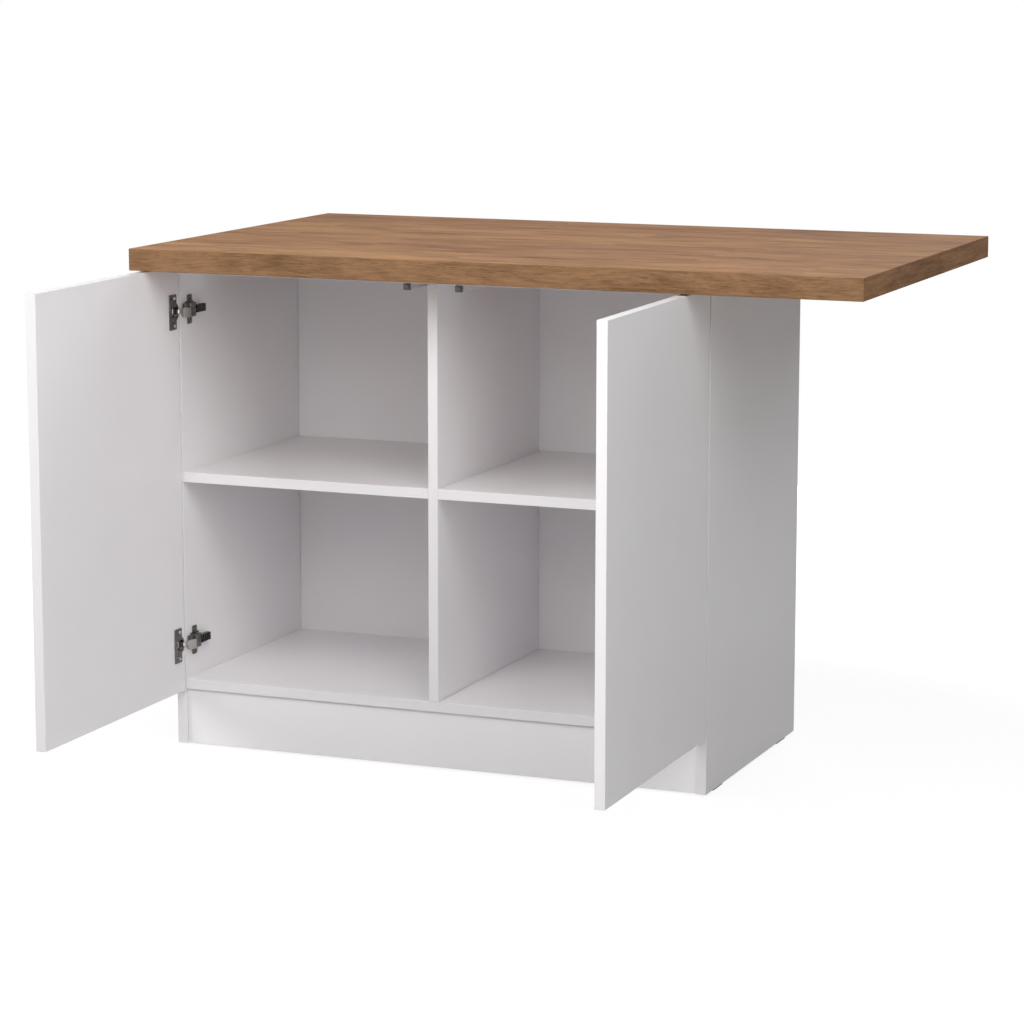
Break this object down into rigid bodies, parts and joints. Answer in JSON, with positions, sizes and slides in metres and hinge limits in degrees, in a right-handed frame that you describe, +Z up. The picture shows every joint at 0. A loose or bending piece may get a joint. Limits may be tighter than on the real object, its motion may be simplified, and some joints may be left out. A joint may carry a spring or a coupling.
{
  "type": "kitchen island",
  "caption": "Kitchen island: white gloss cupboard with hinged doors, push latches and shelved compartments under a brown block worktop that overhangs for seating.",
  "frame": {"origin": "on the floor, under the middle of the island's box with both doors standing open at a right angle", "axes": "+X along the worktop, to the right of someone facing the doors; +Y from the doors to the back; +Z up"},
  "size_m": [1.307, 1.1721, 0.903],
  "materials": {
    "worktop": "brown oak block, satin",
    "carcass": "white laminated board",
    "doors": "white high-gloss laminated board",
    "hinges": "nickel plated",
    "screws": "zinc plated",
    "latch_housings": "grey moulded plastic",
    "latch_plungers": "dark moulded plastic",
    "glides": "black moulded plastic"
  },
  "bodies": {
    "carcass": {"worktop": "worktop", "left_side_panel": "carcass", "right_side_panel": "carcass", "centre_divider": "carcass", "base_panel": "carcass", "back_panel": "carcass", "left_shelf": "carcass", "right_shelf": "carcass", "front_plinth": "carcass", "front_top_rail": "carcass", "rear_top_rail": "carcass", "left_front_glide": "glides", "left_rear_glide": "glides", "right_front_glide": "glides", "right_rear_glide": "glides", "left_latch_housing": "latch_housings", "right_latch_housing": "latch_housings", "front_left_worktop_screw": "screws", "front_right_worktop_screw": "screws", "rear_left_worktop_screw": "screws", "rear_right_worktop_screw": "screws", "left_upper_hinge_arm": "hinges", "left_upper_hinge_plate": "hinges", "left_upper_hinge_plate_top_screw": "screws", "left_upper_hinge_plate_bottom_screw": "screws", "left_lower_hinge_arm": "hinges", "left_lower_hinge_plate": "hinges", "left_lower_hinge_plate_top_screw": "screws", "left_lower_hinge_plate_bottom_screw": "screws", "right_upper_hinge_arm": "hinges", "right_upper_hinge_plate": "hinges", "right_upper_hinge_plate_top_screw": "screws", "right_upper_hinge_plate_bottom_screw": "screws", "right_lower_hinge_arm": "hinges", "right_lower_hinge_plate": "hinges", "right_lower_hinge_plate_top_screw": "screws", "right_lower_hinge_plate_bottom_screw": "screws"},
    "left_door": {"left_door": "doors", "left_upper_hinge_cup": "hinges", "left_upper_hinge_pin": "hinges", "left_upper_hinge_cup_top_screw": "screws", "left_upper_hinge_cup_bottom_screw": "screws", "left_lower_hinge_cup": "hinges", "left_lower_hinge_pin": "hinges", "left_lower_hinge_cup_top_screw": "screws", "left_lower_hinge_cup_bottom_screw": "screws"},
    "right_door": {"right_door": "doors", "right_upper_hinge_cup": "hinges", "right_upper_hinge_pin": "hinges", "right_upper_hinge_cup_top_screw": "screws", "right_upper_hinge_cup_bottom_screw": "screws", "right_lower_hinge_cup": "hinges", "right_lower_hinge_pin": "hinges", "right_lower_hinge_cup_top_screw": "screws", "right_lower_hinge_cup_bottom_screw": "screws"},
    "left_plunger": {"left_latch_plunger": "latch_plungers"},
    "right_plunger": {"right_latch_plunger": "latch_plungers"}
  },
  "joints": [
    {"name": "left_door_swing", "type": "hinge", "parent": "carcass", "child": "left_door", "pos_m": [-0.63525, -0.09625, 0.4785], "axis": [0, 0, -1], "range_deg": [-90, 5]},
    {"name": "right_door_swing", "type": "hinge", "parent": "carcass", "child": "right_door", "pos_m": [0.34725, -0.09625, 0.4785], "axis": [0, 0, 1], "range_deg": [-90.5, 4.5]},
    {"name": "left_latch_press", "type": "slide", "parent": "carcass", "child": "left_plunger", "axis": [0, 1, 0], "range_m": [0, 0.003], "stiffness_N_per_m": 500},
    {"name": "right_latch_press", "type": "slide", "parent": "carcass", "child": "right_plunger", "axis": [0, 1, 0], "range_m": [0, 0.003], "stiffness_N_per_m": 500}
  ]
}
